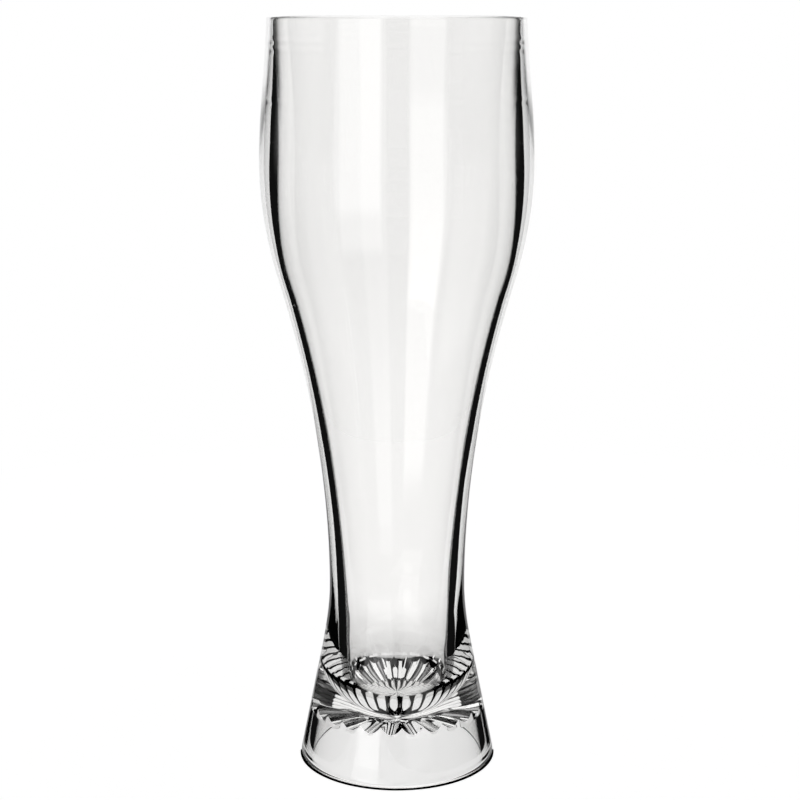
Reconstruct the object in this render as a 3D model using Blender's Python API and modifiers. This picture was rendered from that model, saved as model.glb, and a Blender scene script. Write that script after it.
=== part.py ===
"""Clear plastic wheat-beer glass: a thick-walled vessel welded to a hollow flared foot.

Lengths are metres, +Z is up, and the origin is the centre of the ring that the glass stands on.
"""
import math

import bmesh
import bpy

# Outside shape, from the foot up to the rim
HEIGHT = 0.2400
FOOT_RADIUS = 0.0321
FOOT_FLARE = 0.202
FLARE_HEIGHT = 0.0335
WAIST_HEIGHT = 0.0591
WAIST_RADIUS = 0.0220
NECK_HEIGHT = 0.1578
NECK_RADIUS = 0.0370
NECK_TAPER = 0.298
BELLY_HEIGHT = 0.1945
BELLY_RADIUS = 0.0428
RIM_RADIUS = 0.0399
RIM_TAPER = 0.050

# Walls of the drinking cavity
RIM_WALL = 0.0018
RIM_EDGE = 0.0004
BELLY_WALL = 0.0056
NECK_WALL = 0.0036
WAIST_WALL = 0.0045
CAVITY_DRAFT = 0.014
WAIST_DRAFT = 0.022
BOWL_DRAFT = 0.004
BOWL_RADIUS = 0.0174
BOWL_HEIGHT = 0.0277
BOWL_DEPTH = 0.0117
BOWL_FULLNESS = 1.50

# Ribbed underside of the vessel
BOSS_WALL = 0.0032
BOSS_BLEND = 0.0019
DOME_HEIGHT = 0.0135
DOME_POWER = 1.30
SEAT_HEIGHT = 0.0189
SPIGOT_RADIUS = 0.0256
SPIGOT_LAND = 0.0005
RIB_COUNT = 24
RIB_DEPTH = 0.0024
RIB_FULLNESS = 1.4
RIB_TURN = math.radians(-4.0)

# Hollow foot
FOOT_WALL = 0.0037
FOOT_OUTER_EDGE = 0.0012
FOOT_INNER_EDGE = 0.0009
WELD_GAP = 0.0003
SPIGOT_CLEARANCE = 0.0003

# Smoothness of the turned surfaces
STEPS_PER_RIB = 4
OUTER_ROWS = 17
CAVITY_ROWS = 14
BOWL_ROWS = 8
UNDERSIDE_ROWS = 11
ROUNDING_ROWS = 4
MERGE_DISTANCE = 0.00001

PLASTIC_COLOUR = (0.93, 0.94, 0.93, 1.0)
PLASTIC_ROUGHNESS = 0.04
PLASTIC_IOR = 1.54
SMOOTH_ANGLE = math.radians(35.0)


def clear_scene():
    for existing in list(bpy.data.objects):
        bpy.data.objects.remove(existing, do_unlink=True)


def curve_through(stations, height):
    """Radius at a height on a smooth curve through (height, radius, slope) stations."""
    span = 0
    while span < len(stations) - 2 and height > stations[span + 1][0]:
        span += 1
    low, high = stations[span], stations[span + 1]
    rise = high[0] - low[0]
    t = (height - low[0]) / rise
    near = 1 - t * t * (3 - 2 * t)
    lean_low = rise * low[2] * t * (1 - t) ** 2
    lean_high = rise * high[2] * t * t * (t - 1)
    return near * low[1] + (1 - near) * high[1] + lean_low + lean_high


def outer_radius(height):
    flare_top = FOOT_RADIUS - FOOT_FLARE * FLARE_HEIGHT
    stations = [
        (0.0, FOOT_RADIUS, -FOOT_FLARE),
        (FLARE_HEIGHT, flare_top, -FOOT_FLARE),
        (WAIST_HEIGHT, WAIST_RADIUS, 0.0),
        (NECK_HEIGHT, NECK_RADIUS, NECK_TAPER),
        (BELLY_HEIGHT, BELLY_RADIUS, 0.0),
        (HEIGHT, RIM_RADIUS, -RIM_TAPER),
    ]
    return curve_through(stations, height)


def cavity_radius(height):
    stations = [
        (BOWL_HEIGHT, BOWL_RADIUS, BOWL_DRAFT),
        (WAIST_HEIGHT, WAIST_RADIUS - WAIST_WALL, WAIST_DRAFT),
        (NECK_HEIGHT, NECK_RADIUS - NECK_WALL, NECK_TAPER),
        (BELLY_HEIGHT, BELLY_RADIUS - BELLY_WALL, -CAVITY_DRAFT),
        (HEIGHT, RIM_RADIUS - RIM_WALL, CAVITY_DRAFT),
    ]
    return curve_through(stations, height)


def rounded_bottom(radius, reach, depth):
    """Height of a rounded bottom that is as wide as reach and as deep as depth below the bowl's top."""
    inside = min(radius / reach, 1.0)
    return BOWL_HEIGHT - depth * (1 - inside ** BOWL_FULLNESS) ** (1 / BOWL_FULLNESS)


def underside_height(radius):
    """Height of the underside between its ribs, where the dome runs into the boss below the bowl."""
    rim = SEAT_HEIGHT - SPIGOT_LAND
    dome = DOME_HEIGHT + (rim - DOME_HEIGHT) * (radius / SPIGOT_RADIUS) ** DOME_POWER
    boss = rounded_bottom(radius, BOWL_RADIUS + BOSS_WALL, BOWL_DEPTH + BOSS_WALL)
    meeting = max(1 - abs(dome - boss) / BOSS_BLEND, 0.0)
    return min(dome, boss) - meeting ** 2 * BOSS_BLEND / 4


def spread(start, end, rows):
    """Evenly spaced values from start to end, both included."""
    shares = [row / (rows - 1) for row in range(rows)]
    return [start * (1 - share) + end * share for share in shares]


def arc(centre, radius, start, end, rows):
    """Points (radius, height) on an arc, with its angles in degrees."""
    angles = [math.radians(angle) for angle in spread(start, end, rows)]
    return [(centre[0] + radius * math.cos(a), centre[1] + radius * math.sin(a)) for a in angles]


def cavity_profile():
    """The drinking cavity from its rounded bottom up to the rim."""
    bowl = []
    for angle in spread(0.0, math.pi / 2, BOWL_ROWS)[:-1]:
        radius = BOWL_RADIUS * math.sin(angle)
        bowl.append((radius, rounded_bottom(radius, BOWL_RADIUS, BOWL_DEPTH)))
    heights = spread(BOWL_HEIGHT, HEIGHT - RIM_EDGE, CAVITY_ROWS)
    return bowl + [(cavity_radius(height), height) for height in heights]


def lip_profile():
    """The flat rim and its two rounded edges, from the cavity over to the outside."""
    top = HEIGHT - RIM_EDGE
    inner_centre = (cavity_radius(top) + RIM_EDGE, top)
    outer_centre = (outer_radius(top) - RIM_EDGE, top)
    inner_edge = arc(inner_centre, RIM_EDGE, 180, 90, ROUNDING_ROWS)
    outer_edge = arc(outer_centre, RIM_EDGE, 90, 0, ROUNDING_ROWS)
    return inner_edge[1:] + outer_edge[:-1]


def outside_profile():
    heights = spread(HEIGHT - RIM_EDGE, SEAT_HEIGHT, OUTER_ROWS)
    return [(outer_radius(height), height) for height in heights]


def underside_profile():
    """The weld seat, the spigot and the underside in to its centre."""
    radii = spread(SPIGOT_RADIUS, 0.0, UNDERSIDE_ROWS)
    return [(SPIGOT_RADIUS, SEAT_HEIGHT)] + [(radius, underside_height(radius)) for radius in radii]


def foot_profile():
    """Closed section of the hollow foot, down its outside and up its bore."""
    top = SEAT_HEIGHT - WELD_GAP
    bore_top = SPIGOT_RADIUS + SPIGOT_CLEARANCE
    outer_centre = (outer_radius(FOOT_OUTER_EDGE) - FOOT_OUTER_EDGE, FOOT_OUTER_EDGE)
    inner_centre = (FOOT_RADIUS - FOOT_WALL + FOOT_INNER_EDGE, FOOT_INNER_EDGE)
    outer_edge = arc(outer_centre, FOOT_OUTER_EDGE, 0, -90, ROUNDING_ROWS)
    inner_edge = arc(inner_centre, FOOT_INNER_EDGE, -90, -180, ROUNDING_ROWS)
    return [(outer_radius(top), top)] + outer_edge + inner_edge + [(bore_top, top)]


def turned(name, profile, closed, collection):
    """A profile at +X turned about Z."""
    last = len(profile) - 1
    edges = [(row, row + 1) for row in range(last)]
    if closed:
        edges.append((last, 0))
    mesh = bpy.data.meshes.new(name)
    mesh.from_pydata([(radius, 0.0, height) for radius, height in profile], edges, [])
    piece = bpy.data.objects.new(name, mesh)
    collection.objects.link(piece)
    turn = piece.modifiers.new("Turn", "SCREW")
    turn.axis = "Z"
    turn.angle = 2 * math.pi
    turn.steps = RIB_COUNT * STEPS_PER_RIB
    turn.render_steps = turn.steps
    turn.use_merge_vertices = True
    turn.merge_threshold = MERGE_DISTANCE
    settle(piece)
    return piece


def settle(piece):
    """Replace a piece's profile and its turning by the mesh that they make."""
    depsgraph = bpy.context.evaluated_depsgraph_get()
    mesh = bpy.data.meshes.new_from_object(piece.evaluated_get(depsgraph))
    mesh.name = piece.name
    piece.modifiers.clear()
    piece.data = mesh


def press_ribs(mesh):
    """Push the underside down into full, rounded ribs that shrink towards the centre."""
    pitch = 2 * math.pi / RIB_COUNT
    shape = bmesh.new()
    shape.from_mesh(mesh)
    for vertex in shape.verts:
        radius = math.hypot(vertex.co.x, vertex.co.y)
        if radius > SPIGOT_RADIUS + MERGE_DISTANCE:
            continue
        if abs(vertex.co.z - underside_height(radius)) > MERGE_DISTANCE:
            continue
        across = math.atan2(vertex.co.y, vertex.co.x) / pitch % 1.0
        ridge = 1 - (1 - abs(2 * across - 1)) ** RIB_FULLNESS
        vertex.co.z -= RIB_DEPTH * ridge * radius / SPIGOT_RADIUS
    shape.to_mesh(mesh)
    shape.free()


def clear_plastic(name):
    material = bpy.data.materials.new(name)
    material.use_nodes = True
    shader = material.node_tree.nodes["Principled BSDF"]
    shader.inputs["Base Color"].default_value = PLASTIC_COLOUR
    shader.inputs["Roughness"].default_value = PLASTIC_ROUGHNESS
    shader.inputs["Metallic"].default_value = 0.0
    shader.inputs["IOR"].default_value = PLASTIC_IOR
    shader.inputs["Transmission Weight"].default_value = 1.0
    return material


def finish(piece):
    piece.data.shade_smooth()
    piece.data.set_sharp_from_angle(angle=SMOOTH_ANGLE)
    piece.data.materials.append(clear_plastic(piece.name + "_plastic"))
    piece.rotation_euler.z = RIB_TURN


def make_vessel(collection):
    profile = cavity_profile() + lip_profile() + outside_profile() + underside_profile()
    vessel = turned("vessel", profile, False, collection)
    press_ribs(vessel.data)
    finish(vessel)


def make_foot(collection):
    finish(turned("foot", foot_profile(), True, collection))


def main():
    clear_scene()
    collection = bpy.data.collections.new("wheat_beer_glass")
    bpy.context.scene.collection.children.link(collection)
    make_vessel(collection)
    make_foot(collection)


main()
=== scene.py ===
"""Clear plastic wheat-beer glass in a white studio: a ribbed vessel on a welded hollow foot."""
import math

import bmesh
import bpy
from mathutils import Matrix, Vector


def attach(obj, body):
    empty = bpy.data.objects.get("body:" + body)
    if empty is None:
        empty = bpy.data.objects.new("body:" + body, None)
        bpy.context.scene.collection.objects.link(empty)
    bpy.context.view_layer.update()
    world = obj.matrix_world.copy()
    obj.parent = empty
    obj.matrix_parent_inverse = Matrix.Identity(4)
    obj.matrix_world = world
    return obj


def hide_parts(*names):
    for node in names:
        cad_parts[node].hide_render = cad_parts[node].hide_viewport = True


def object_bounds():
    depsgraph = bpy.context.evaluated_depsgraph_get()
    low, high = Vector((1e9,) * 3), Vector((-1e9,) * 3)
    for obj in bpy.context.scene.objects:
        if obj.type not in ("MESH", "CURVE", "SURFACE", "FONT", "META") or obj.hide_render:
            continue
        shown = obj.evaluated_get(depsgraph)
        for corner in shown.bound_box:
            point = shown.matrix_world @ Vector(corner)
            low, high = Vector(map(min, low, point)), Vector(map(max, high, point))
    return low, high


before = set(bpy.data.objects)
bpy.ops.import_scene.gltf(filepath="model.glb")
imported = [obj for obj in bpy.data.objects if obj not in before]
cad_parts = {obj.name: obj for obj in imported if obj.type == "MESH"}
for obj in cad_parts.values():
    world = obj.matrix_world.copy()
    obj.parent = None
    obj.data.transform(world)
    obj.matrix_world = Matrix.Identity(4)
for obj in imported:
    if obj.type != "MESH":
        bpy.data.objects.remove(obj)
CAD_BOX = [list(corner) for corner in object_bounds()]

bl_info = {
    "name": "Wheat Beer Glass",
    "version": (1, 0, 0),
    "blender": (4, 5, 0),
    "location": "View3D > Sidebar > Glass",
    "description": "Makes a clear plastic wheat-beer glass and the white studio around it",
    "category": "Add Mesh",
}

# Rows in each stretch of the two sections
BOWL_ROWS = 40
WALL_ROWS = 52
RIM_ROWS = 44
LIP_ROWS = 7
UNDERSIDE_ROWS = 84
FOOT_ROWS = 28
STANDING_RING_ROWS = 8
BORE_ROWS = 18

# Details of the pieces, in metres; a flow ring has its depth below the rim and its weight
RIM_ZONE = 0.030
FLOW_RINGS = ((0.0070, 1.0), (0.0096, 0.8), (0.0250, 0.5))
FLOW_RING_WIDTH = 0.0007
BORE_STOP = 0.0003
BASE_MIDDLE = 0.020
BASE_REACH = 0.020
BASE_CORE = 0.008
SEAM = 0.000001

SMOOTH_ANGLE = math.radians(70.0)
UNEVEN_SEED = 7
SCRATCH_DEPTH = 0.00001
SCRATCH_ROUGHNESS = 0.05

# Painted rim light, where the plastic turns see-through seen edge on: depths below the rim, and facings,
# which are 0 straight on and 1 edge on
RIM_LIGHT_START = 0.038
RIM_LIGHT_FULL = 0.016
FACING_START = 0.66
FACING_FULL = 0.80

# Zones of the table as distances from the axis of the glass, each with its start and its end
CORE_ZONE = (0.026, 0.050)
SHADE_ZONE = (0.030, 0.122)
MIRROR_ZONE = (0.12, 0.70)
FAR_ZONE = (0.45, 0.65)
CORE_SHADE = 0.8

# Measures of the studio set
TABLE_LEVEL = -0.0001
# Painted contact shadow: height of its black sheet below the foot
SHADOW_SHEET_LEVEL = -0.00005
FELT_LEVEL = 0.0001
TABLE_REACH = 3.0
CEILING_REACH = 0.6
CEILING_HEIGHT = 0.9
CARD_TOP = 0.5
PALE_CARD_END = math.radians(122.0)
BACKDROP_EDGE = math.radians(48.0)
BACKDROP_TOP = 0.7
WALL_LIFT_HEIGHT = 0.15
FELT_GLOW = 0.006
# Painted contact shadow: how far its black sheet reaches past the foot
SHADOW_SHEET_OVERLAP = 0.0002
SOFTBOX_ROWS = 24
FALL_START = 0.35
FALL_SPAN = 0.125


def length(name, description, default):
    """A size in metres that a user may change."""
    return bpy.props.FloatProperty(name=name, description=description, default=default, min=0.0, precision=5,
                                   unit="LENGTH")


def slope(name, description, default):
    """Change of radius for each unit of height."""
    return bpy.props.FloatProperty(name=name, description=description, default=default, precision=4)


def share(name, description, default, top=1.0):
    """A number from 0 to top."""
    return bpy.props.FloatProperty(name=name, description=description, default=default, min=0.0, max=top,
                                   precision=4, subtype="FACTOR")


def angle(name, description, degrees):
    return bpy.props.FloatProperty(name=name, description=description, default=math.radians(degrees),
                                   subtype="ANGLE", unit="ROTATION")


def strength(name, description, default):
    """Brightness of a lit card, where 1 is white."""
    return bpy.props.FloatProperty(name=name, description=description, default=default, min=0.0)


class GlassShape(bpy.types.PropertyGroup):
    """Sizes of the vessel and of the foot."""

    height: length("Height", "Standing ring to rim", CAD_BOX[1][2] - CAD_BOX[0][2])
    foot_radius: length("Foot radius", "Outside of the foot, produced to the table", 0.0321)
    foot_flare: slope("Foot flare", "How fast the foot widens downwards", 0.202)
    flare_height: length("Flare height", "Where the straight flare of the foot ends", 0.0335)
    waist_height: length("Waist height", "Height of the narrowest place", 0.0591)
    waist_radius: length("Waist radius", "Outside at the waist", 0.0220)
    neck_height: length("Neck height", "Where the taper is steepest, below the belly", 0.1578)
    neck_radius: length("Neck radius", "Outside at the neck height", 0.0370)
    neck_taper: slope("Neck taper", "How fast the outside widens at the neck", 0.298)
    belly_height: length("Belly height", "Height of the widest place", 0.1945)
    belly_radius: length("Belly radius", "Outside at the belly", 0.0428)
    rim_radius: length("Rim radius", "Outside at the rim", 0.0399)
    rim_taper: slope("Rim taper", "How fast the outside narrows at the rim", 0.050)
    rim_wall: length("Rim wall", "Wall thickness at the rim", 0.0018)
    rim_edge: length("Rim edge", "Rounding of both edges of the flat rim", 0.0004)
    belly_wall: length("Belly wall", "Wall thickness at the belly", 0.0056)
    neck_wall: length("Neck wall", "Wall thickness at the neck", 0.0036)
    waist_wall: length("Waist wall", "Wall thickness at the waist", 0.0045)
    cavity_draft: slope("Cavity draft", "Draft of the cavity above the belly", 0.014)
    cavity_taper: slope("Cavity taper", "How fast the cavity widens at the neck", 0.290)
    waist_draft: slope("Waist draft", "Draft of the cavity at the waist", 0.049)
    bowl_draft: slope("Bowl draft", "Draft of the cavity at the top of the bowl", 0.007)
    bowl_radius: length("Bowl radius", "Radius of the cavity where its rounded bottom starts", 0.0175)
    bowl_height: length("Bowl height", "Height at which the rounded bottom starts", 0.0298)
    bowl_depth: length("Bowl depth", "Depth of the rounded bottom", 0.0150)
    bowl_fullness: bpy.props.FloatProperty(name="Bowl fullness", default=1.8, min=1.0, max=5.0,
                                           description="2 is an ellipse, more is squarer")
    boss_wall: length("Boss wall", "Plastic below the rounded bottom", 0.0016)
    boss_blend: length("Boss blend", "Softness of the meeting of boss and underside", 0.0019)
    seat_height: length("Seat height", "Height of the weld seat", 0.0190)
    spigot_radius: length("Spigot radius", "Outside of the spigot that goes into the foot", 0.0256)
    spigot_land: length("Spigot land", "Depth of the spigot above the ribs", 0.0005)
    dome_height: length("Dome height", "Height of the underside at its centre", 0.0160)
    dome_power: bpy.props.FloatProperty(name="Dome power", default=2.0, min=0.5, max=6.0,
                                        description="Form of the underside from the spigot to its centre")
    rib_count: bpy.props.IntProperty(name="Ribs", default=24, min=3, max=60,
                                     description="Ribs round the underside")
    rib_depth: length("Rib depth", "Depth of a rib at the spigot", 0.0024)
    rib_fade: bpy.props.FloatProperty(name="Rib fade", default=1.1, min=0.1, max=4.0,
                                      description="How fast the ribs shrink towards the centre")
    rib_fullness: bpy.props.FloatProperty(name="Rib fullness", default=2.0, min=1.0, max=6.0,
                                          description="1 is pointed, 2 is rounded with a sharp valley")
    rib_roundness: share("Rib roundness", "0 keeps the valleys sharp, 1 is a wave", 0.05)
    rib_turn: angle("Rib turn", "Bearing of the first rib", -94.0)
    foot_bore: length("Foot bore", "Radius of the foot's bore at the table", 0.0284)
    foot_outer_edge: length("Foot outer edge", "Rounding of the standing ring, outside", 0.0012)
    foot_inner_edge: length("Foot inner edge", "Rounding of the standing ring, inside", 0.0009)
    weld_gap: length("Weld gap", "Gap between the welded faces", 0.00002)
    steps_per_rib: bpy.props.IntProperty(name="Steps for each rib", default=12, min=4, max=24,
                                         description="Facets in the width of one rib")


class PlasticFinish(bpy.types.PropertyGroup):
    """Look of the clear plastic."""

    tint: bpy.props.FloatVectorProperty(name="Tint", description="Colour that the plastic lets through",
                                        default=(1.0, 0.997, 0.991), size=3, min=0.0, max=1.0,
                                        subtype="COLOR")
    refraction: bpy.props.FloatProperty(name="Refraction", description="Index of refraction of the plastic",
                                        default=1.54, min=1.0, max=2.0)
    unevenness: share("Unevenness", "Waviness of the moulded walls, as a share of the radius", 0.0006, 0.01)
    wave_size: length("Wave size", "Width of one wave of the unevenness", 0.030)
    # Share of painted rim light: how far the plastic turns see-through near the rim where it is seen edge on
    rim_light_share: share("Rim clearness", "Light that passes the thin edges of the wall below the rim", 0.8)
    base_waves: share("Base waves", "Waviness of the thick base, as a share of the radius", 0.003, 0.01)
    base_wave_size: length("Base wave size", "Width of one wave of the base", 0.0045)
    flow_ring: length("Flow ring", "Depth of the moulding rings below the rim", 0.00005)


class StudioSet(bpy.types.PropertyGroup):
    """Cards, lamp and camera; bearings are from straight behind the glass, as the camera sees it."""

    camera_distance: length("Camera distance", "Camera to the axis of the glass, along the table", 0.560)
    camera_height: length("Camera height", "Camera above the table", 0.2445)
    camera_pitch: angle("Camera pitch", "How far the camera looks down", 12.552)
    camera_yaw: angle("Camera yaw", "How far the camera looks to the right", 0.1)
    lens: bpy.props.FloatProperty(name="Lens", description="Focal length of the camera", default=80.54,
                                  min=1.0, subtype="DISTANCE_CAMERA", unit="CAMERA")
    backdrop_distance: length("Backdrop distance", "White wall behind the glass", 0.42)
    flag_distance: length("Flag distance", "Black cards at both sides of the glass", 0.33)
    flag_start: angle("Flag start", "Bearing of the inner edge of the black cards on the table", 32.0)
    flag_lean: angle("Flag lean", "How far that edge leans outwards at the height of the low cards", 9.5)
    left_flag_end: angle("Left flag end", "Bearing of the outer edge of the left black card", 125.0)
    right_flag_end: angle("Right flag end", "Bearing of the outer edge of the right black card", 171.0)
    flag_height: length("Flag height", "Height of the black cards where they are low", 0.15)
    high_flag_end: angle("High flag end", "Bearing up to which the black cards are high", 62.0)
    left_card_strength: strength("Left card", "Pale card above the left black card", 0.5)
    right_card_strength: strength("Right card", "Pale card above the right black card", 0.25)
    left_strength: strength("Left softbox", "Softbox at the left of the camera", 1.4)
    left_bottom: length("Left softbox bottom", "Height of its lower edge", 0.0)
    foot_strength: strength("Foot card", "Low card at the left, close to the glass", 2.0)
    right_strength: strength("Right softbox", "Softbox at the right of the camera, in its lower part", 0.85)
    right_fall: share("Right fall-off", "Brightness of its upper part, as a share of the lower one", 0.55)
    ceiling_strength: strength("Ceiling", "Card above the glass", 0.02)
    room_strength: strength("Room", "Dim room round the set", 0.007)
    table_glow: share("Table glow", "White of the table that needs no lamp", 0.92)
    table_shade: share("Table shade", "How much darker the table is near the glass, seen through it", 0.38)
    table_mirror: share("Table mirror", "Brightness of the table in reflections, near the glass", 0.30)
    wall_lift: share("Wall lift", "How much brighter the foot of the wall is, seen through the glass", 0.07)
    lamp_strength: strength("Lamp", "Strength of the broad lamp above the table", 0.30)


def curve_through(stations, height):
    """Radius at a height on a smooth curve through (height, radius, slope) stations."""
    span = 0
    while span < len(stations) - 2 and height > stations[span + 1][0]:
        span += 1
    low, high = stations[span], stations[span + 1]
    rise = high[0] - low[0]
    t = (height - low[0]) / rise
    near = 1 - t * t * (3 - 2 * t)
    lean = rise * (low[2] * t * (1 - t) ** 2 + high[2] * t * t * (t - 1))
    return near * low[1] + (1 - near) * high[1] + lean


def outer_radius(shape, height):
    return curve_through([
        (0.0, shape.foot_radius, -shape.foot_flare),
        (shape.flare_height, shape.foot_radius - shape.foot_flare * shape.flare_height, -shape.foot_flare),
        (shape.waist_height, shape.waist_radius, 0.0),
        (shape.neck_height, shape.neck_radius, shape.neck_taper),
        (shape.belly_height, shape.belly_radius, 0.0),
        (shape.height, shape.rim_radius, -shape.rim_taper),
    ], height)


def cavity_radius(shape, height):
    return curve_through([
        (shape.bowl_height, shape.bowl_radius, shape.bowl_draft),
        (shape.waist_height, shape.waist_radius - shape.waist_wall, shape.waist_draft),
        (shape.neck_height, shape.neck_radius - shape.neck_wall, shape.cavity_taper),
        (shape.belly_height, shape.belly_radius - shape.belly_wall, -shape.cavity_draft),
        (shape.height, shape.rim_radius - shape.rim_wall, shape.cavity_draft),
    ], height)


def flow_rings(shape, plastic, height):
    """Faint rings that the flowing plastic left below the rim."""
    depth_below_rim = shape.height - height
    bump = 0.0
    for depth, weight in FLOW_RINGS:
        bump += weight * math.exp(-((depth_below_rim - depth) / FLOW_RING_WIDTH) ** 2)
    return plastic.flow_ring * bump


def spread(start, end, rows):
    """Evenly spaced values from start to end, both included."""
    return [start + (end - start) * row / (rows - 1) for row in range(rows)]


def arc(centre, radius, start, end, rows):
    """Points (radius, height) on an arc, with its angles in degrees."""
    turns = [math.radians(turn) for turn in spread(start, end, rows)]
    return [(centre[0] + radius * math.cos(turn), centre[1] + radius * math.sin(turn)) for turn in turns]


def bowl_rows(shape):
    """The rounded bottom of the cavity, from its centre out."""
    power = 2 / shape.bowl_fullness
    rows = []
    for turn in spread(0.0, math.pi / 2, BOWL_ROWS)[:-1]:
        radius = shape.bowl_radius * math.sin(turn) ** power
        rows.append((radius, shape.bowl_height - shape.bowl_depth * math.cos(turn) ** power))
    return rows


def wall_heights(shape, bottom):
    """Heights of the rows of a wall, closer together near the rim."""
    top = shape.height - shape.rim_edge
    rim_zone = shape.height - RIM_ZONE
    return spread(bottom, rim_zone, WALL_ROWS)[:-1] + spread(rim_zone, top, RIM_ROWS)


def lip_rows(shape, inside, outside):
    """The flat rim with its two rounded edges."""
    edge = shape.rim_edge
    top = shape.height - edge
    inner_edge = arc((inside + edge, top), edge, 180, 90, LIP_ROWS)
    outer_edge = arc((outside - edge, top), edge, 90, 0, LIP_ROWS)
    return inner_edge[1:] + outer_edge[:-1]


def underside_height(shape, radius):
    """Height of the underside between its ribs, where the dome runs into the boss below the bowl."""
    floor = shape.seat_height - shape.spigot_land
    outwards = (radius / shape.spigot_radius) ** shape.dome_power
    dome = shape.dome_height + (floor - shape.dome_height) * outwards
    boss_radius = shape.bowl_radius + shape.boss_wall
    if radius >= boss_radius:
        return dome
    power = shape.bowl_fullness
    round_share = (1 - (radius / boss_radius) ** power) ** (1 / power)
    boss = shape.bowl_height - (shape.bowl_depth + shape.boss_wall) * round_share
    blend = max(shape.boss_blend - abs(dome - boss), 0.0) / shape.boss_blend
    return min(dome, boss) - blend * blend * shape.boss_blend / 4


def vessel_rows(shape, plastic):
    """Rows (radius, height, rib share, weld) of the vessel, from the bowl over the rim to the underside."""
    rows = [(radius, height, 0.0, 0.0) for radius, height in bowl_rows(shape)]
    for height in wall_heights(shape, shape.bowl_height):
        radius = cavity_radius(shape, height) + flow_rings(shape, plastic, height)
        rows.append((radius, height, 0.0, 0.0))
    outside = outer_radius(shape, shape.height - shape.rim_edge)
    rows += [(radius, height, 0.0, 0.0) for radius, height in lip_rows(shape, rows[-1][0], outside)]
    for height in reversed(wall_heights(shape, shape.seat_height)):
        rows.append((outer_radius(shape, height), height, 0.0, 0.0))
    rows[-1] = (outer_radius(shape, shape.seat_height), shape.seat_height, 0.0, 1.0)
    spigot = shape.spigot_radius
    rows.append((spigot, shape.seat_height, 0.0, 1.0))
    for radius in spread(spigot, 0.0, UNDERSIDE_ROWS):
        rib_share = (radius / spigot) ** shape.rib_fade if radius > 0 else 0.0
        rows.append((radius, underside_height(shape, radius), rib_share, 0.0))
    return rows


def foot_rows(shape):
    """Rows of the foot's closed section, down its outside, round the standing ring and up its bore."""
    top = shape.seat_height - shape.weld_gap
    bore_top = shape.spigot_radius + shape.weld_gap
    edge, inner_edge = shape.foot_outer_edge, shape.foot_inner_edge
    outer_centre = (outer_radius(shape, edge) - edge, edge)
    inner_centre = (shape.foot_bore + inner_edge, inner_edge)
    outline = [(outer_radius(shape, height), height) for height in spread(top, edge, FOOT_ROWS)]
    outline += arc(outer_centre, edge, 0, -90, STANDING_RING_ROWS)[1:]
    outline += arc(inner_centre, inner_edge, -90, -180, STANDING_RING_ROWS)
    floor = shape.seat_height - shape.spigot_land
    bore_lean = (shape.spigot_radius - shape.foot_bore) / (floor - inner_edge)
    for height in spread(inner_edge, floor - shape.rib_depth - BORE_STOP, BORE_ROWS)[1:]:
        outline.append((shape.foot_bore + bore_lean * (height - inner_edge), height))
    rows = [(radius, height, 0.0, 0.0) for radius, height in outline]
    rows.append((bore_top, floor, 1.0, 1.0))
    rows.append((bore_top, top, 0.0, 1.0))
    return rows + [rows[0]]


def section_mesh(name, rows):
    """Mesh of a section: its points with what the turning needs to know about each row."""
    mesh = bpy.data.meshes.new(name)
    points = [(row[0], 0.0, row[1]) for row in rows]
    edges = [(point, point + 1) for point in range(len(rows) - 1)]
    mesh.from_pydata(points, edges, [])
    for column, title in ((2, "rib_share"), (3, "weld")):
        values = mesh.attributes.new(title, "FLOAT", "POINT")
        values.data.foreach_set("value", [row[column] for row in rows])
    return mesh


def add(tree, kind, **settings):
    made = tree.nodes.new(kind)
    for key, value in settings.items():
        setattr(made, key, value)
    return made


def plug(tree, socket, value):
    """Join a socket to another one, or give it a plain value."""
    if isinstance(value, bpy.types.NodeSocket):
        tree.links.new(value, socket)
    else:
        socket.default_value = value


def calc(tree, operation, *values):
    made = add(tree, "ShaderNodeMath", operation=operation)
    for socket, value in zip(made.inputs, values):
        plug(tree, socket, value)
    return made.outputs[0]


def at_row(tree, section, value, row, kind):
    """A value of the section at a row."""
    sample = add(tree, "GeometryNodeSampleIndex", data_type=kind, domain="POINT")
    plug(tree, sample.inputs["Geometry"], section)
    plug(tree, sample.inputs["Value"], value)
    plug(tree, sample.inputs["Index"], row)
    return sample.outputs[0]


def named(tree, title):
    made = add(tree, "GeometryNodeInputNamedAttribute", data_type="FLOAT")
    made.inputs["Name"].default_value = title
    return made.outputs["Attribute"]


def rib_wave(tree, step, inputs):
    """1 on the crest of a rib and 0 between two ribs."""
    ribs_passed = calc(tree, "DIVIDE", calc(tree, "MULTIPLY", step, inputs["Ribs"]), inputs["Steps"])
    across = calc(tree, "FRACT", ribs_passed)
    from_valley = calc(tree, "ABSOLUTE", calc(tree, "MULTIPLY_ADD", across, 2.0, -1.0))
    from_crest = calc(tree, "SUBTRACT", 1.0, from_valley)
    full = calc(tree, "SUBTRACT", 1.0, calc(tree, "POWER", from_crest, inputs["Rib Fullness"]))
    turn = calc(tree, "MULTIPLY", across, 2 * math.pi)
    waved = calc(tree, "MULTIPLY_ADD", calc(tree, "COSINE", turn), 0.5, 0.5)
    softened = calc(tree, "SUBTRACT", waved, full)
    return calc(tree, "MULTIPLY_ADD", softened, inputs["Rib Roundness"], full)


def swing(tree, place, seed, wave_size):
    """Smooth noise from -1 to 1."""
    noise = add(tree, "ShaderNodeTexNoise", noise_dimensions="4D")
    plug(tree, noise.inputs["Vector"], place)
    plug(tree, noise.inputs["W"], seed)
    plug(tree, noise.inputs["Scale"], calc(tree, "DIVIDE", 1.0, wave_size))
    noise.inputs["Detail"].default_value = 0.0
    return calc(tree, "MULTIPLY_ADD", noise.outputs[0], 2.0, -1.0)


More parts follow.
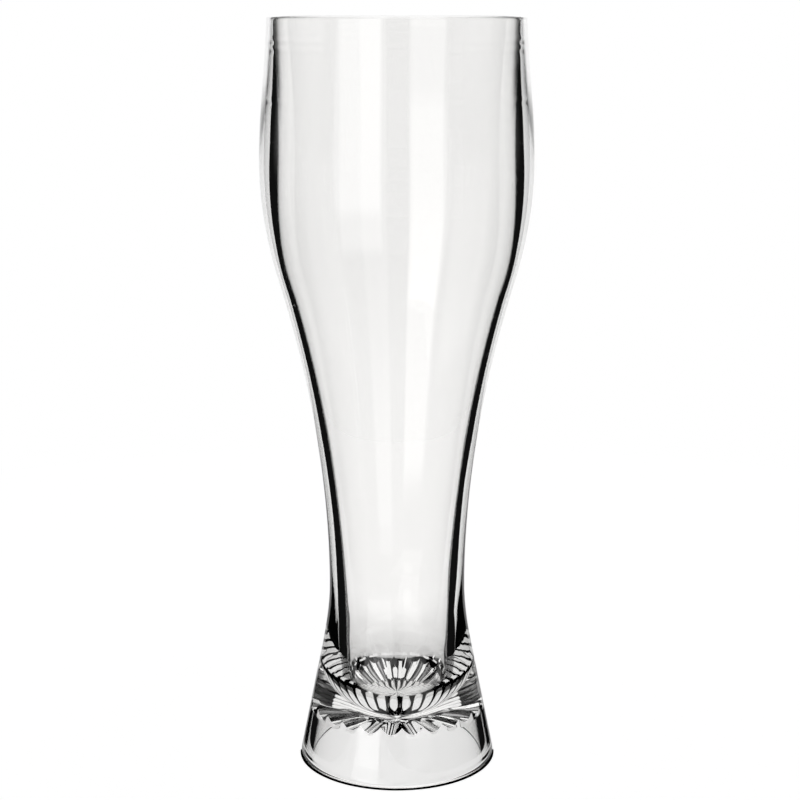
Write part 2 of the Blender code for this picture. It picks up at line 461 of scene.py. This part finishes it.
def uneven(tree, place, height, inputs):
    """The place moved a little to or from the axis, as a moulded wall is, and more so in the thick base."""
    wall_swing = swing(tree, place, inputs["Seed"], inputs["Wave Size"])
    walls = calc(tree, "MULTIPLY", wall_swing, inputs["Unevenness"])
    from_base = calc(tree, "ABSOLUTE", calc(tree, "SUBTRACT", height, inputs["Base Height"]))
    low = add(tree, "ShaderNodeMapRange", interpolation_type="SMOOTHSTEP")
    plug(tree, low.inputs["Value"], from_base)
    low.inputs["From Min"].default_value = BASE_REACH
    low.inputs["From Max"].default_value = BASE_CORE
    base_swing = swing(tree, place, inputs["Seed"], inputs["Base Wave Size"])
    ripple = calc(tree, "MULTIPLY", base_swing, inputs["Base Waves"])
    grow = calc(tree, "ADD", 1.0, calc(tree, "MULTIPLY_ADD", ripple, low.outputs["Result"], walls))
    scale = add(tree, "ShaderNodeCombineXYZ")
    plug(tree, scale.inputs[0], grow)
    plug(tree, scale.inputs[1], grow)
    scale.inputs[2].default_value = 1.0
    moved = add(tree, "ShaderNodeVectorMath", operation="MULTIPLY")
    plug(tree, moved.inputs[0], place)
    plug(tree, moved.inputs[1], scale.outputs[0])
    return moved.outputs[0]


TURNING_INPUTS = (
    ("Section", "NodeSocketGeometry"),
    ("Steps", "NodeSocketInt"),
    ("Ribs", "NodeSocketInt"),
    ("Rib Depth", "NodeSocketFloat"),
    ("Rib Fullness", "NodeSocketFloat"),
    ("Rib Roundness", "NodeSocketFloat"),
    ("First Rib", "NodeSocketFloat"),
    ("Unevenness", "NodeSocketFloat"),
    ("Wave Size", "NodeSocketFloat"),
    ("Base Height", "NodeSocketFloat"),
    ("Base Waves", "NodeSocketFloat"),
    ("Base Wave Size", "NodeSocketFloat"),
    ("Seed", "NodeSocketInt"),
    ("Plastic", "NodeSocketMaterial"),
    ("Weld", "NodeSocketMaterial"),
)


def turning_tree():
    """Geometry nodes that turn a section about Z and press the ribs into its underside."""
    tree = bpy.data.node_groups.new("turned_and_ribbed", "GeometryNodeTree")
    tree.is_modifier = True
    for title, kind in TURNING_INPUTS:
        tree.interface.new_socket(name=title, in_out="INPUT", socket_type=kind)
    tree.interface.new_socket(name="Piece", in_out="OUTPUT", socket_type="NodeSocketGeometry")
    inputs = add(tree, "NodeGroupInput").outputs
    section, steps = inputs["Section"], inputs["Steps"]
    size = add(tree, "GeometryNodeAttributeDomainSize", component="MESH")
    plug(tree, size.inputs[0], section)
    columns = calc(tree, "ADD", steps, 1.0)
    grid = add(tree, "GeometryNodeMeshGrid")
    plug(tree, grid.inputs["Vertices X"], size.outputs["Point Count"])
    plug(tree, grid.inputs["Vertices Y"], columns)
    index = add(tree, "GeometryNodeInputIndex").outputs[0]
    row = calc(tree, "FLOOR", calc(tree, "DIVIDE", index, columns))
    step = calc(tree, "SUBTRACT", index, calc(tree, "MULTIPLY", row, columns))
    point = at_row(tree, section, add(tree, "GeometryNodeInputPosition").outputs[0], row, "FLOAT_VECTOR")
    parts = add(tree, "ShaderNodeSeparateXYZ")
    plug(tree, parts.inputs[0], point)
    rib_share = at_row(tree, section, named(tree, "rib_share"), row, "FLOAT")
    wave = rib_wave(tree, step, inputs)
    press = calc(tree, "MULTIPLY", calc(tree, "MULTIPLY", wave, rib_share), inputs["Rib Depth"])
    turn = calc(tree, "MULTIPLY_ADD", calc(tree, "DIVIDE", step, steps), 2 * math.pi, inputs["First Rib"])
    place = add(tree, "ShaderNodeCombineXYZ")
    plug(tree, place.inputs[0], calc(tree, "MULTIPLY", parts.outputs[0], calc(tree, "COSINE", turn)))
    plug(tree, place.inputs[1], calc(tree, "MULTIPLY", parts.outputs[0], calc(tree, "SINE", turn)))
    plug(tree, place.inputs[2], calc(tree, "SUBTRACT", parts.outputs[2], press))
    moved = add(tree, "GeometryNodeSetPosition")
    plug(tree, moved.inputs["Geometry"], grid.outputs["Mesh"])
    plug(tree, moved.inputs["Position"], uneven(tree, place.outputs[0], parts.outputs[2], inputs))
    face_row = calc(tree, "FLOOR", calc(tree, "DIVIDE", index, steps))
    welded = calc(tree, "GREATER_THAN", at_row(tree, section, named(tree, "weld"), face_row, "FLOAT"), 0.5)
    marked = add(tree, "GeometryNodeStoreNamedAttribute", data_type="FLOAT", domain="FACE")
    marked.inputs["Name"].default_value = "welded"
    plug(tree, marked.inputs["Geometry"], moved.outputs[0])
    plug(tree, marked.inputs["Value"], welded)
    closed = add(tree, "GeometryNodeMergeByDistance")
    plug(tree, closed.inputs["Geometry"], marked.outputs[0])
    closed.inputs["Distance"].default_value = SEAM
    smooth = add(tree, "GeometryNodeSetShadeSmooth")
    plug(tree, smooth.inputs["Geometry"], closed.outputs[0])
    real = add(tree, "GeometryNodeRealizeInstances")
    plug(tree, real.inputs["Geometry"], smooth.outputs[0])
    clear = add(tree, "GeometryNodeSetMaterial")
    plug(tree, clear.inputs["Geometry"], real.outputs[0])
    plug(tree, clear.inputs["Material"], inputs["Plastic"])
    fused = add(tree, "GeometryNodeSetMaterial")
    plug(tree, fused.inputs["Geometry"], clear.outputs[0])
    plug(tree, fused.inputs["Selection"], calc(tree, "GREATER_THAN", named(tree, "welded"), 0.5))
    plug(tree, fused.inputs["Material"], inputs["Weld"])
    plug(tree, add(tree, "NodeGroupOutput").inputs["Piece"], fused.outputs[0])
    return tree


def turned_piece(name, rows, shape, plastic, material):
    """A finished piece: its section turned by the geometry nodes and made a plain mesh."""
    tree = bpy.data.node_groups.get("turned_and_ribbed") or turning_tree()
    piece = bpy.data.objects.new(name, section_mesh(name, rows))
    bpy.context.scene.collection.objects.link(piece)
    turning = piece.modifiers.new("Turning", "NODES")
    turning.node_group = tree
    values = {
        "Steps": shape.rib_count * shape.steps_per_rib,
        "Ribs": shape.rib_count,
        "Rib Depth": shape.rib_depth,
        "Rib Fullness": shape.rib_fullness,
        "Rib Roundness": shape.rib_roundness,
        "First Rib": shape.rib_turn,
        "Unevenness": plastic.unevenness,
        "Wave Size": plastic.wave_size,
        "Base Height": shape.seat_height + BASE_MIDDLE,
        "Base Waves": plastic.base_waves,
        "Base Wave Size": plastic.base_wave_size,
        "Seed": UNEVEN_SEED,
        "Plastic": material,
        "Weld": fused_weld(),
    }
    for socket in tree.interface.items_tree:
        if socket.in_out == "INPUT" and socket.name in values:
            turning[socket.identifier] = values[socket.name]
    depsgraph = bpy.context.evaluated_depsgraph_get()
    mesh = bpy.data.meshes.new_from_object(piece.evaluated_get(depsgraph))
    piece.modifiers.clear()
    if mesh.materials[0] is None:
        mesh.materials.pop(index=0)
    close_and_smooth(mesh)
    mesh.name = name
    piece.data = mesh
    return piece


def close_and_smooth(mesh):
    """Turn the faces outwards, check that the shell is closed and mark its sharp edges."""
    shell = bmesh.new()
    shell.from_mesh(mesh)
    bmesh.ops.recalc_face_normals(shell, faces=shell.faces)
    open_edges = sum(not edge.is_manifold for edge in shell.edges)
    shell.to_mesh(mesh)
    shell.free()
    if open_edges:
        raise RuntimeError(f"{open_edges} edges of the turned piece are open")
    mesh.set_sharp_from_angle(angle=SMOOTH_ANGLE)


def handling_marks():
    """Shader group: fine scratches and a breath of haze, as roughness and as height."""
    group = bpy.data.node_groups.get("handling_marks")
    if group:
        return group
    group = bpy.data.node_groups.new("handling_marks", "ShaderNodeTree")
    for title, kind in (("Vector", "NodeSocketVector"), ("Scratch Scale", "NodeSocketFloat"),
                        ("Haze", "NodeSocketFloat"), ("Scratch Depth", "NodeSocketFloat")):
        group.interface.new_socket(name=title, in_out="INPUT", socket_type=kind)
    for title in ("Roughness", "Height"):
        group.interface.new_socket(name=title, in_out="OUTPUT", socket_type="NodeSocketFloat")
    inputs = add(group, "NodeGroupInput").outputs
    stretch = add(group, "ShaderNodeMapping")
    plug(group, stretch.inputs["Vector"], inputs["Vector"])
    stretch.inputs["Rotation"].default_value = (0.3, 0.2, 0.9)
    stretch.inputs["Scale"].default_value = (1.0, 0.06, 1.0)
    fine = add(group, "ShaderNodeTexNoise")
    plug(group, fine.inputs["Vector"], stretch.outputs[0])
    plug(group, fine.inputs["Scale"], inputs["Scratch Scale"])
    fine.inputs["Detail"].default_value = 2.0
    scratch = add(group, "ShaderNodeMapRange")
    plug(group, scratch.inputs["Value"], fine.outputs[0])
    scratch.inputs["From Min"].default_value = 0.74
    scratch.inputs["From Max"].default_value = 0.82
    breath = add(group, "ShaderNodeTexNoise")
    plug(group, breath.inputs["Vector"], inputs["Vector"])
    breath.inputs["Scale"].default_value = 45.0
    breath.inputs["Detail"].default_value = 3.0
    patch = add(group, "ShaderNodeMapRange")
    plug(group, patch.inputs["Value"], breath.outputs[0])
    patch.inputs["From Min"].default_value = 0.45
    patch.inputs["From Max"].default_value = 0.80
    outputs = add(group, "NodeGroupOutput").inputs
    hazy = calc(group, "MULTIPLY", patch.outputs[0], inputs["Haze"])
    rough = calc(group, "MULTIPLY_ADD", scratch.outputs[0], SCRATCH_ROUGHNESS, hazy)
    plug(group, outputs["Roughness"], rough)
    plug(group, outputs["Height"], calc(group, "MULTIPLY", scratch.outputs[0], inputs["Scratch Depth"]))
    return group


def painted_rim_light(tree, plastic, top):
    """Alpha of the plastic: painted light near the rim, where the plastic turns partly see-through seen edge
    on and so lightens its dark edge bands.
    """
    parts = add(tree, "ShaderNodeSeparateXYZ")
    plug(tree, parts.inputs[0], add(tree, "ShaderNodeTexCoord").outputs["Object"])
    near_rim = add(tree, "ShaderNodeMapRange", interpolation_type="SMOOTHSTEP")
    plug(tree, near_rim.inputs["Value"], parts.outputs["Z"])
    near_rim.inputs["From Min"].default_value = top - RIM_LIGHT_START
    near_rim.inputs["From Max"].default_value = top - RIM_LIGHT_FULL
    edge_on = add(tree, "ShaderNodeMapRange", interpolation_type="SMOOTHSTEP")
    plug(tree, edge_on.inputs["Value"], add(tree, "ShaderNodeLayerWeight").outputs["Facing"])
    edge_on.inputs["From Min"].default_value = FACING_START
    edge_on.inputs["From Max"].default_value = FACING_FULL
    see_through = calc(tree, "MULTIPLY", near_rim.outputs["Result"], edge_on.outputs["Result"])
    return calc(tree, "SUBTRACT", 1.0, calc(tree, "MULTIPLY", see_through, plastic.rim_light_share))


def clear_plastic(name, plastic, scratch_scale, haze):
    """Clear moulded plastic with light marks of handling."""
    material = bpy.data.materials.new(name)
    material.use_nodes = True
    tree = material.node_tree
    shader = tree.nodes["Principled BSDF"]
    shader.inputs["Base Color"].default_value = (*plastic.tint, 1.0)
    shader.inputs["Metallic"].default_value = 0.0
    shader.inputs["Transmission Weight"].default_value = 1.0
    shader.inputs["IOR"].default_value = plastic.refraction
    marks = add(tree, "ShaderNodeGroup", node_tree=handling_marks())
    plug(tree, marks.inputs["Vector"], add(tree, "ShaderNodeTexCoord").outputs["Object"])
    marks.inputs["Scratch Scale"].default_value = scratch_scale
    marks.inputs["Haze"].default_value = haze
    marks.inputs["Scratch Depth"].default_value = -SCRATCH_DEPTH
    bump = add(tree, "ShaderNodeBump")
    bump.inputs["Distance"].default_value = 1.0
    plug(tree, bump.inputs["Height"], marks.outputs["Height"])
    plug(tree, shader.inputs["Normal"], bump.outputs[0])
    plug(tree, shader.inputs["Roughness"], marks.outputs["Roughness"])
    return material


def fused_weld():
    """The melted joint, where plastic runs into plastic and no surface is left to see."""
    material = bpy.data.materials.get("fused_weld")
    if material:
        return material
    material = bpy.data.materials.new("fused_weld")
    material.use_nodes = True
    shader = material.node_tree.nodes["Principled BSDF"]
    shader.inputs["Alpha"].default_value = 0.0
    return material


def glow(name, brightness):
    """Material that gives off white light, and is black where the brightness is 0."""
    material = bpy.data.materials.new(name)
    material.use_nodes = True
    shader = material.node_tree.nodes["Principled BSDF"]
    shader.inputs["Base Color"].default_value = (0.0, 0.0, 0.0, 1.0)
    shader.inputs["Specular IOR Level"].default_value = 0.0
    shader.inputs["Emission Color"].default_value = (1.0, 1.0, 1.0, 1.0)
    shader.inputs["Emission Strength"].default_value = brightness
    return material


def ramp(tree, value, start, end, low, high):
    """A smooth change from low to high while a value goes from start to end."""
    made = add(tree, "ShaderNodeMapRange", interpolation_type="SMOOTHERSTEP")
    settings = {"Value": value, "From Min": start, "From Max": end, "To Min": low, "To Max": high}
    for title, setting in settings.items():
        plug(tree, made.inputs[title], setting)
    return made.outputs["Result"]


def white_table(studio):
    """Matt table, white to the eye, with a soft shade round the glass that shows through the plastic."""
    material = glow("white_table", 0.0)
    tree = material.node_tree
    shader = tree.nodes["Principled BSDF"]
    shader.inputs["Base Color"].default_value = (0.8, 0.8, 0.8, 1.0)
    shader.inputs["Roughness"].default_value = 1.0
    reach = add(tree, "ShaderNodeVectorMath", operation="LENGTH")
    plug(tree, reach.inputs[0], add(tree, "ShaderNodeTexCoord").outputs["Object"])
    away = reach.outputs["Value"]
    core = ramp(tree, away, *CORE_ZONE, CORE_SHADE, 1.0)
    shade = calc(tree, "MULTIPLY", core, ramp(tree, away, *SHADE_ZONE, studio.table_shade, 0.0))
    near = ramp(tree, away, *FAR_ZONE, 1.0, 0.0)
    lit = calc(tree, "MULTIPLY", calc(tree, "SUBTRACT", 1.0, shade), near)
    mirror = ramp(tree, away, *MIRROR_ZONE, studio.table_mirror, 0.0)
    ray = add(tree, "ShaderNodeLightPath").outputs
    through = calc(tree, "MULTIPLY", ray["Is Transmission Ray"], lit)
    reflected = calc(tree, "GREATER_THAN", ray["Is Glossy Ray"], ray["Is Transmission Ray"])
    mirrored = calc(tree, "MULTIPLY_ADD", reflected, mirror, through)
    seen = calc(tree, "MULTIPLY_ADD", ray["Is Camera Ray"], studio.table_glow, mirrored)
    plug(tree, shader.inputs["Emission Strength"], seen)
    return material


def white_wall(studio):
    """White wall behind the glass, a little brighter towards the table, but not to the camera itself."""
    material = glow("white_wall", 1.0)
    tree = material.node_tree
    parts = add(tree, "ShaderNodeSeparateXYZ")
    plug(tree, parts.inputs[0], add(tree, "ShaderNodeTexCoord").outputs["Object"])
    lift = ramp(tree, parts.outputs["Z"], 0.0, WALL_LIFT_HEIGHT, studio.wall_lift, 0.0)
    unseen = calc(tree, "SUBTRACT", 1.0, add(tree, "ShaderNodeLightPath").outputs["Is Camera Ray"])
    shader = tree.nodes["Principled BSDF"]
    plug(tree, shader.inputs["Emission Strength"], calc(tree, "MULTIPLY_ADD", unseen, lift, 1.0))
    return material


def feathered(name, brightness):
    """Lit card that fades out towards its edges."""
    material = glow(name, 0.0)
    tree = material.node_tree
    shader = tree.nodes["Principled BSDF"]
    fade = add(tree, "ShaderNodeAttribute", attribute_name="fade")
    plug(tree, shader.inputs["Emission Strength"], calc(tree, "MULTIPLY", fade.outputs["Fac"], brightness))
    return material


def card(name, corners, faces, material, rig, hidden=True):
    """A card of the studio set, which turns with the camera."""
    mesh = bpy.data.meshes.new(name)
    mesh.from_pydata(corners, [], faces)
    mesh.materials.append(material)
    made = bpy.data.objects.new(name, mesh)
    bpy.context.scene.collection.objects.link(made)
    made.parent = rig
    made.visible_shadow = False
    made.visible_diffuse = False
    made.visible_camera = not hidden
    return made


def sheet_grid(start, end, low, high, columns=24, rows=1, lean=0.0):
    """Corners and faces of a curved sheet between two bearings; low and high are (distance, height)."""
    corners = []
    for row in range(rows + 1):
        up = row / rows
        reach, height = (low[k] * (1 - up) + high[k] * up for k in (0, 1))
        for bearing in spread(start + lean * up, end, columns + 1):
            corners.append((math.sin(bearing) * reach, math.cos(bearing) * reach, height))
    faces = []
    for row in range(rows):
        for column in range(columns):
            first = row * (columns + 1) + column
            faces.append((first, first + 1, first + columns + 2, first + columns + 1))
    return corners, faces


def upright(name, start, end, distance, bottom, top, material, rig, hidden=True, lean=0.0):
    """A curved card that stands round the glass; lean moves the top of its first edge."""
    grid = sheet_grid(start, end, (distance, bottom), (distance, top), lean=lean)
    return card(name, *grid, material, rig, hidden)


def lying(name, outline, material, rig):
    """A flat sheet on the table."""
    corners = [(x, y, FELT_LEVEL) for x, y in outline]
    return card(name, corners, [tuple(range(len(corners)))], material, rig)


def level_square(reach, height):
    """Corners and face of a level square with its middle over the glass."""
    sides = ((-reach, -reach), (reach, -reach), (reach, reach), (-reach, reach))
    return [(x, y, height) for x, y in sides], [(0, 1, 2, 3)]


def softbox(name, start, end, distance, bottom, top, brightness, rig, feather=0.15, upper=1.0):
    """A lit card that fades over a share of its width and height; upper is how bright its upper part is."""
    rows = SOFTBOX_ROWS
    grid = sheet_grid(start, end, (distance, bottom), (distance, top), rows, rows)
    made = card(name, *grid, feathered(name + "_light", brightness), rig)
    soft_edge, fall = [], []
    for row in range(rows + 1):
        inwards = min(min(row, rows - row) / rows / feather, 1.0)
        soft_edge.append(inwards * inwards * (3 - 2 * inwards))
        risen = min(max((row / rows - FALL_START) / FALL_SPAN, 0.0), 1.0)
        fall.append(1 - (1 - upper) * risen)
    values = [up * level * across for up, level in zip(soft_edge, fall) for across in soft_edge]
    made.data.attributes.new("fade", "FLOAT", "POINT").data.foreach_set("value", values)
    return made


# Outlines of the black felt on the table, seen from above; the right one also closes the front
FELT_EDGES = {
    "left": ((-0.0365, -0.0200), (-0.0365, 0.0060), (-0.0390, 0.0200), (-0.0572, 0.0694),
             (-0.1298, 0.1722), (-0.1800, 0.2800), (-0.6000, 0.2800), (-0.6000, -0.4200)),
    "right": ((0.0190, -0.0520), (0.0355, -0.0200), (0.0355, 0.0060), (0.0460, 0.0410), (0.0720, 0.0640),
              (0.0970, 0.1310), (0.1600, 0.2120), (0.1790, 0.2800), (0.6000, 0.2800), (0.6000, -0.6000),
              (-0.6000, -0.6000), (-0.6000, -0.4200), (-0.1065, -0.0746), (-0.0746, -0.1065),
              (-0.0290, -0.1270)),
}


def set_flags(studio, rig):
    """Black cards and felt, which draw the dark lines of clear plastic, and the pale cards above them."""
    felt = glow("black_felt", FELT_GLOW)
    distance, low = studio.flag_distance, studio.flag_height
    start, lean = studio.flag_start, studio.flag_lean
    sides = (
        ("left", -1, studio.left_flag_end, studio.left_card_strength),
        ("right", 1, studio.right_flag_end, studio.right_card_strength),
    )
    for side, sign, end, brightness in sides:
        high_start, pale_start = sign * (start + lean), sign * studio.high_flag_end
        pale_end = sign * PALE_CARD_END
        upright("low_flag_" + side, sign * start, sign * end, distance, 0.0, low, felt, rig, lean=sign * lean)
        upright("high_flag_" + side, high_start, pale_start, distance, low, CARD_TOP, felt, rig)
        softbox("pale_card_" + side, pale_start, pale_end, distance, low, CARD_TOP, brightness, rig)
        lying("felt_" + side, FELT_EDGES[side], felt, rig)


def set_softboxes(studio, rig):
    """Lit cards on the camera's side, which make the long highlights and the foot's, and the card above."""
    softbox("softbox_left", start=math.radians(191.0), end=math.radians(233.0), distance=0.56,
            bottom=studio.left_bottom, top=0.6, brightness=studio.left_strength, rig=rig, feather=0.1)
    softbox("foot_card", start=math.radians(196.0), end=math.radians(221.0), distance=0.06,
            bottom=-0.01, top=0.02, brightness=studio.foot_strength, rig=rig, feather=0.08)
    softbox("softbox_right", start=math.radians(137.0), end=math.radians(171.0), distance=0.22,
            bottom=-0.08, top=CARD_TOP, brightness=studio.right_strength, rig=rig, upper=studio.right_fall)
    ceiling = level_square(CEILING_REACH, CEILING_HEIGHT)
    card("ceiling", *ceiling, glow("ceiling_light", studio.ceiling_strength), rig)


def set_table(studio, rig):
    """White table and the curved white wall behind the glass."""
    table = card("table", *level_square(TABLE_REACH, TABLE_LEVEL), white_table(studio), rig, hidden=False)
    table.visible_diffuse = True
    upright("backdrop", start=-BACKDROP_EDGE, end=BACKDROP_EDGE, distance=studio.backdrop_distance,
            bottom=-0.001, top=BACKDROP_TOP, material=white_wall(studio), rig=rig, hidden=False)


def set_painted_contact_shadow(shape, rig):
    """Painted contact shadow: a black sheet on the table below the front of the standing ring, which the
    camera sees.
    """
    inner = (shape.foot_bore + shape.foot_inner_edge, SHADOW_SHEET_LEVEL)
    outer = (shape.foot_radius + SHADOW_SHEET_OVERLAP, SHADOW_SHEET_LEVEL)
    grid = sheet_grid(math.pi / 2, 3 * math.pi / 2, inner, outer, columns=72)
    # Black sheet of painted shadow, seen by the camera
    card("contact", *grid, glow("painted_contact_shadow", 0.0), rig, hidden=False)


def set_lamp(studio):
    """Broad soft lamp above the table."""
    light = bpy.data.lights.new("table_lamp", "SUN")
    light.energy = studio.lamp_strength
    light.angle = math.radians(70.0)
    lamp = bpy.data.objects.new("table_lamp", light)
    lamp.location = (0.0, 0.0, 1.1)
    lamp.visible_camera = False
    lamp.visible_glossy = False
    lamp.visible_transmission = False
    bpy.context.scene.collection.objects.link(lamp)


def set_camera(studio):
    view = bpy.data.cameras.new("view")
    view.lens = studio.lens
    view.sensor_width = 36.0
    camera = bpy.data.objects.new("view", view)
    camera.location = (0.0, -studio.camera_distance, studio.camera_height)
    camera.rotation_euler = (math.pi / 2 - studio.camera_pitch, 0.0, -studio.camera_yaw)
    bpy.context.scene.collection.objects.link(camera)
    bpy.context.scene.camera = camera
    return camera


def set_rig(camera):
    """Turntable of the studio set, which keeps every card at its bearing from the camera."""
    rig = bpy.data.objects.new("studio_turntable", None)
    bpy.context.scene.collection.objects.link(rig)
    follow = rig.constraints.new("COPY_ROTATION")
    follow.target = camera
    follow.use_x = False
    follow.use_y = False
    return rig


def set_room(studio):
    world = bpy.data.worlds.new("dim_room")
    bpy.context.scene.world = world
    world.use_nodes = True
    world.node_tree.nodes["Background"].inputs["Color"].default_value = (1.0, 1.0, 1.0, 1.0)
    world.node_tree.nodes["Background"].inputs["Strength"].default_value = studio.room_strength
    scene = bpy.context.scene
    scene.view_settings.view_transform = "Standard"
    scene.cycles.max_bounces = 24
    scene.cycles.transmission_bounces = 24
    scene.cycles.glossy_bounces = 2
    scene.cycles.transparent_max_bounces = 32
    scene.cycles.caustics_reflective = True
    scene.cycles.caustics_refractive = True


class MakeVessel(bpy.types.Operator):
    """Make the vessel with its cavity, its rim and its ribbed underside"""

    bl_idname = "wheat_glass.make_vessel"
    bl_label = "Vessel"

    def execute(self, context):
        shape, plastic = context.scene.glass_shape, context.scene.glass_plastic
        material = clear_plastic("vessel_plastic", plastic, scratch_scale=900.0, haze=0.010)
        tree = material.node_tree
        # Alpha carries painted light near the rim, where the plastic turns see-through seen edge on
        plug(tree, tree.nodes["Principled BSDF"].inputs["Alpha"], painted_rim_light(tree, plastic, shape.height))
        piece = turned_piece("clear_vessel", vessel_rows(shape, plastic), shape, plastic, material)
        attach(piece, "root")
        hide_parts("vessel")
        return {"FINISHED"}


class MakeFoot(bpy.types.Operator):
    """Make the hollow foot that is welded below the vessel"""

    bl_idname = "wheat_glass.make_foot"
    bl_label = "Foot"

    def execute(self, context):
        shape, plastic = context.scene.glass_shape, context.scene.glass_plastic
        material = clear_plastic("foot_plastic", plastic, scratch_scale=1100.0, haze=0.015)
        piece = turned_piece("clear_foot", foot_rows(shape), shape, plastic, material)
        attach(piece, "root")
        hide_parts("foot")
        return {"FINISHED"}


class MakeStudio(bpy.types.Operator):
    """Set the table, the cards, the lamp, the room and the camera"""

    bl_idname = "wheat_glass.make_studio"
    bl_label = "Studio"

    def execute(self, context):
        studio = context.scene.glass_studio
        rig = set_rig(set_camera(studio))
        set_table(studio, rig)
        set_flags(studio, rig)
        set_painted_contact_shadow(context.scene.glass_shape, rig)
        set_softboxes(studio, rig)
        set_lamp(studio)
        set_room(studio)
        return {"FINISHED"}


class GlassPanel(bpy.types.Panel):
    """Lists the makers of the glass and their sizes"""

    bl_idname = "VIEW3D_PT_wheat_glass"
    bl_label = "Wheat Beer Glass"
    bl_space_type = "VIEW_3D"
    bl_region_type = "UI"
    bl_category = "Glass"

    def draw(self, context):
        for maker in MAKERS:
            self.layout.operator(maker.bl_idname)
        for title in GROUPS:
            group = getattr(context.scene, title)
            box = self.layout.box()
            for setting in group.bl_rna.properties:
                if setting.identifier not in {"rna_type", "name"}:
                    box.prop(group, setting.identifier)


MAKERS = (MakeVessel, MakeFoot, MakeStudio)
GROUPS = {"glass_shape": GlassShape, "glass_plastic": PlasticFinish, "glass_studio": StudioSet}


def register():
    for kind in (*GROUPS.values(), *MAKERS, GlassPanel):
        bpy.utils.register_class(kind)
    for title, kind in GROUPS.items():
        setattr(bpy.types.Scene, title, bpy.props.PointerProperty(type=kind))


def unregister():
    for title in GROUPS:
        delattr(bpy.types.Scene, title)
    for kind in (GlassPanel, *reversed(MAKERS), *GROUPS.values()):
        bpy.utils.unregister_class(kind)


def main():
    register()
    bpy.ops.wheat_glass.make_vessel()
    bpy.ops.wheat_glass.make_foot()
    bpy.ops.wheat_glass.make_studio()
    bpy.context.view_layer.update()


if __name__ == "__main__":
    main()
